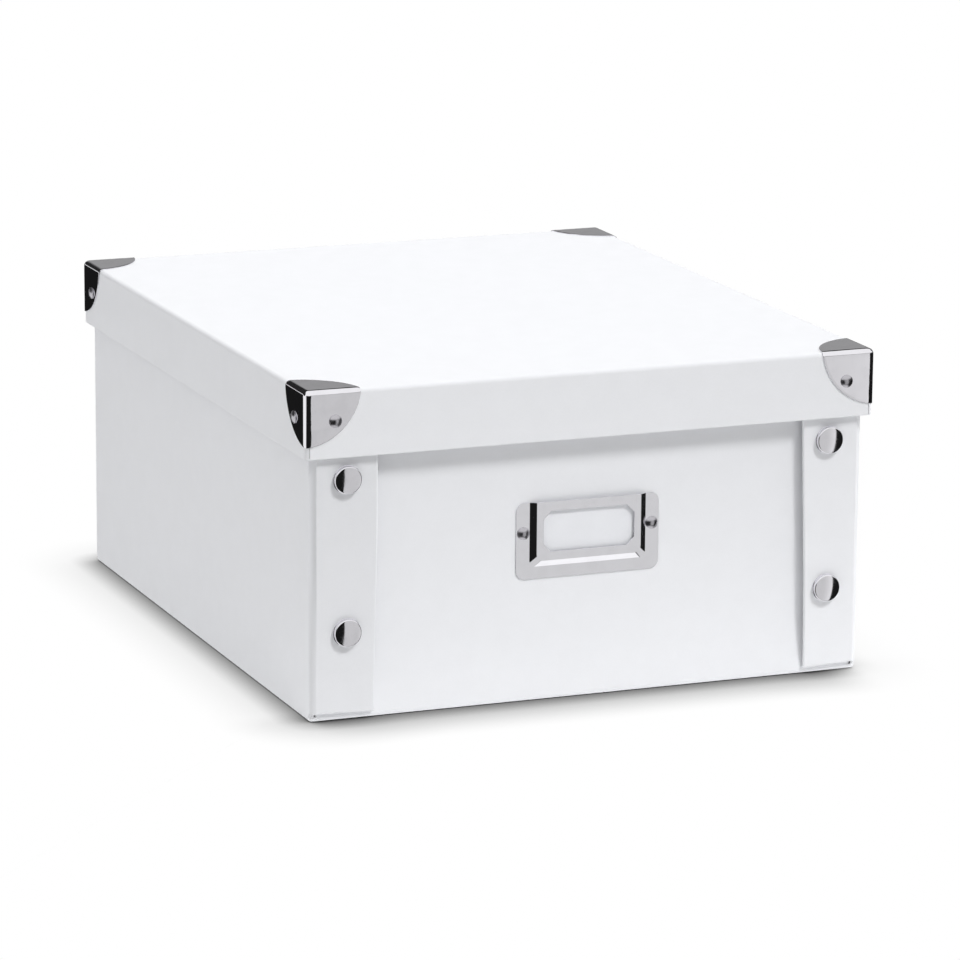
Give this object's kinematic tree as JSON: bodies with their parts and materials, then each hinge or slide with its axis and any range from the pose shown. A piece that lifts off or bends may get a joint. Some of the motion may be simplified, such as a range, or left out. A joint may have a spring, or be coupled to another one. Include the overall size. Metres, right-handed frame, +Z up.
{
  "type": "cardboard storage box",
  "caption": "Rectangular white cardboard storage box with a lift-off lid, snapped corner flaps, riveted metal lid corners and a metal label holder on the front.",
  "frame": {"origin": "middle of the base's underside, on the surface that the box stands on", "axes": "+Z up, front face with the label holder at -Y, +X to the right seen from the front"},
  "size_m": [0.2644, 0.3116, 0.144],
  "materials": {
    "grey_board": "raw grey board",
    "white_cover_paper": "matt white laminated cover paper, lightly grained",
    "white_liner_paper": "smooth matt white liner paper",
    "corner_metal": "bright nickel plate on pressed steel",
    "rivet_metal": "bright nickel plate",
    "stud_metal": "bright nickel plate",
    "holder_metal": "bright nickel plate on pressed steel",
    "label_card": "plain white card"
  },
  "bodies": {
    "box": {"base_board": "grey_board", "front_wall_board": "grey_board", "back_wall_board": "grey_board", "left_wall_board": "grey_board", "right_wall_board": "grey_board", "front_left_flap_board": "grey_board", "front_right_flap_board": "grey_board", "back_left_flap_board": "grey_board", "back_right_flap_board": "grey_board", "base_cover_sheet": "white_cover_paper", "body_cover_paper": "white_cover_paper", "body_liner_paper": "white_liner_paper", "label_holder_rivets": "rivet_metal", "label_holder_washers": "rivet_metal", "front_stud_caps": "stud_metal", "front_stud_sockets": "stud_metal", "front_stud_buttons": "stud_metal", "front_stud_posts": "stud_metal", "back_stud_caps": "stud_metal", "back_stud_sockets": "stud_metal", "back_stud_buttons": "stud_metal", "back_stud_posts": "stud_metal", "label_holder": "holder_metal"},
    "lid": {"lid_top_board": "grey_board", "lid_cover_paper": "white_cover_paper", "lid_liner_paper": "white_liner_paper", "lid_corner_rivets": "rivet_metal", "lid_corner_washers": "rivet_metal", "lid_front_skirt_board": "grey_board", "lid_back_skirt_board": "grey_board", "lid_left_skirt_board": "grey_board", "lid_right_skirt_board": "grey_board", "front_left_lid_corner": "corner_metal", "front_right_lid_corner": "corner_metal", "back_left_lid_corner": "corner_metal", "back_right_lid_corner": "corner_metal"},
    "label_card": {"label_card": "label_card"}
  },
  "joints": [
    {"name": "lid_lift", "type": "slide", "parent": "box", "child": "lid", "axis": [0, 0, 1], "range_m": [0, 0.16]},
    {"name": "label_card_slide", "type": "slide", "parent": "box", "child": "label_card", "axis": [0, 0, 1], "range_m": [0, 0.028]}
  ]
}
